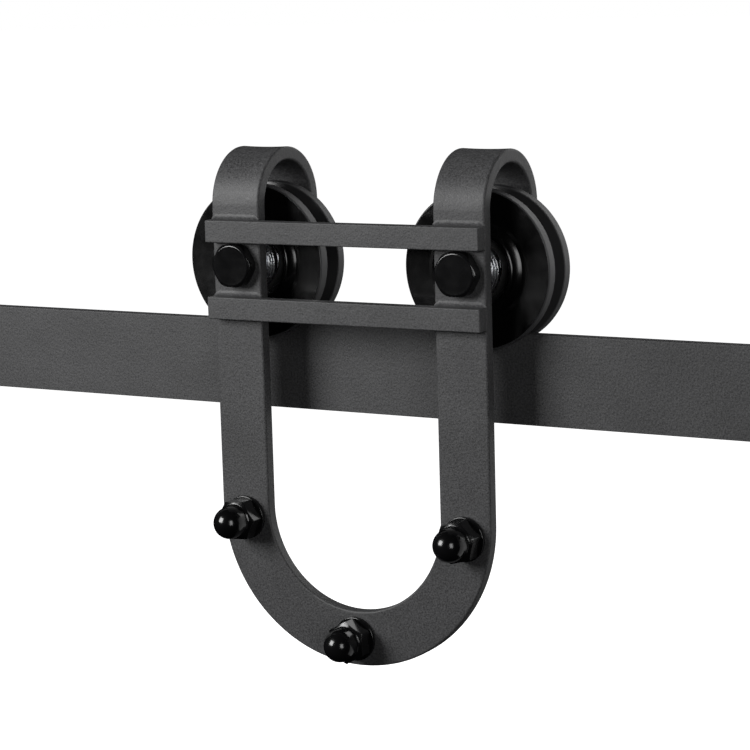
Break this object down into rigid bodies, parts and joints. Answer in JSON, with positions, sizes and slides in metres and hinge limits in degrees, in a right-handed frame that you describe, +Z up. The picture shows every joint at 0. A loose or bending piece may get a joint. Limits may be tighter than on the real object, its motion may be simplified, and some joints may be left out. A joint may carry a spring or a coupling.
{
  "type": "sliding barn door track",
  "caption": "Wall-mounted flat-bar barn door track on standoffs, with a horseshoe strap hanger that rolls along it on grooved wheels between rubber-faced end stops.",
  "frame": {"origin": "on the wall plane, where the axis of the middle wall screw crosses it, at half the rail's height", "axes": "+X along the rail to the right as seen from the room, +Y into the wall, +Z up"},
  "size_m": [1, 0.142, 0.2305],
  "materials": {
    "powder_coat": "matte charcoal powder coat with a fine texture",
    "wheel_black": "satin black, turned",
    "black_fastener": "semi-gloss black oxide",
    "gloss_black": "gloss black",
    "zinc_steel": "bright zinc, turned",
    "bearing_steel": "ground bearing steel",
    "ring_steel": "dark spring steel",
    "ball_steel": "polished",
    "cage_brass": "plain",
    "seal_black": "matt black seal",
    "bumper_rubber": "matt black rubber"
  },
  "bodies": {
    "track": {"rail": "powder_coat", "wall_standoff_left": "powder_coat", "wall_standoff_middle": "powder_coat", "wall_standoff_right": "powder_coat", "wall_screws": "black_fastener", "rail_washers": "black_fastener", "end_stop_left": "powder_coat", "end_stop_right": "powder_coat", "stop_bumper_left": "bumper_rubber", "stop_bumper_right": "bumper_rubber", "bumper_screws": "black_fastener", "stop_set_screws": "black_fastener"},
    "hanger": {"horseshoe_strap": "powder_coat", "upper_crossbar": "powder_coat", "lower_crossbar": "powder_coat", "axle_bolt_left": "black_fastener", "axle_bolt_right": "black_fastener", "axle_nuts": "black_fastener", "axle_lock_washers": "black_fastener", "front_spacer_left": "zinc_steel", "front_spacer_right": "zinc_steel", "rear_spacer_left": "zinc_steel", "rear_spacer_right": "zinc_steel", "bearing_inner_ring_left": "bearing_steel", "bearing_inner_ring_right": "bearing_steel", "door_studs": "black_fastener", "door_stud_washers": "black_fastener", "acorn_nuts": "gloss_black"},
    "left_wheel": {"wheel_left": "wheel_black", "bearing_outer_ring_left": "bearing_steel", "bearing_shields_left": "seal_black", "retaining_ring_left": "ring_steel"},
    "right_wheel": {"wheel_right": "wheel_black", "bearing_outer_ring_right": "bearing_steel", "bearing_shields_right": "seal_black", "retaining_ring_right": "ring_steel"},
    "left_balls": {"bearing_balls_left": "ball_steel", "ball_cage_left": "cage_brass"},
    "right_balls": {"bearing_balls_right": "ball_steel", "ball_cage_right": "cage_brass"}
  },
  "joints": [
    {"name": "hanger_roll", "type": "slide", "parent": "track", "child": "hanger", "axis": [1, 0, 0], "range_m": [-0.1575, 0.5775]},
    {"name": "left_wheel_spin", "type": "hinge", "parent": "hanger", "child": "left_wheel", "pos_m": [-0.26675, -0.041, 0.0482], "axis": [0, 1, 0], "continuous": true},
    {"name": "right_wheel_spin", "type": "hinge", "parent": "hanger", "child": "right_wheel", "pos_m": [-0.15325, -0.041, 0.0482], "axis": [0, 1, 0], "continuous": true},
    {"name": "left_balls_orbit", "type": "hinge", "parent": "hanger", "child": "left_balls", "pos_m": [-0.26675, -0.041, 0.0482], "axis": [0, 1, 0], "continuous": true},
    {"name": "right_balls_orbit", "type": "hinge", "parent": "hanger", "child": "right_balls", "pos_m": [-0.15325, -0.041, 0.0482], "axis": [0, 1, 0], "continuous": true}
  ],
  "couplings": [
    {"joint": "left_wheel_spin", "follows": "hanger_roll", "rad_per_m": 35.587},
    {"joint": "right_wheel_spin", "follows": "hanger_roll", "rad_per_m": 35.587},
    {"joint": "left_balls_orbit", "follows": "hanger_roll", "rad_per_m": 22.566},
    {"joint": "right_balls_orbit", "follows": "hanger_roll", "rad_per_m": 22.566}
  ]
}
